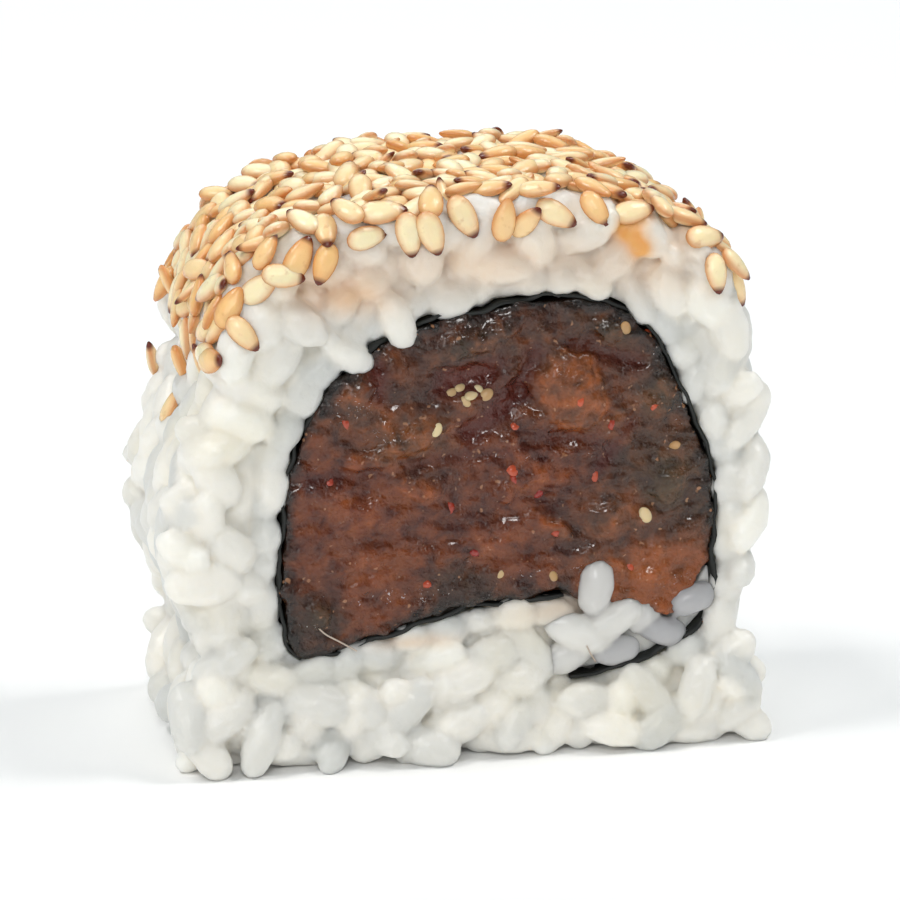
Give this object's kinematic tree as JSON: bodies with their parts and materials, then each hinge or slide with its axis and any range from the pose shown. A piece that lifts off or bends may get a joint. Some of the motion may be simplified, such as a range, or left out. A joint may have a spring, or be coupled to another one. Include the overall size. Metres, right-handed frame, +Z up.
{
  "type": "uramaki roll",
  "caption": "One cut piece of inside-out sushi roll: sticky rice round a coiled sheet of nori and chopped fish in sauce, toasted sesame seeds on the domed top, flat base to stand on.",
  "frame": {"origin": "middle of the flat base that the piece stands on", "axes": "+X across the piece, +Y along the roll from the near cut to the far cut, +Z upwards to the seeded top"},
  "size_m": [0.0424, 0.0244, 0.0394],
  "materials": {
    "rice": "satin",
    "nori": "satin",
    "filling": "gloss",
    "sesame": "satin",
    "chilli": "gloss"
  },
  "bodies": {
    "root": {"rice": "rice", "nori": "nori", "filling": "filling"}
  },
  "joints": []
}
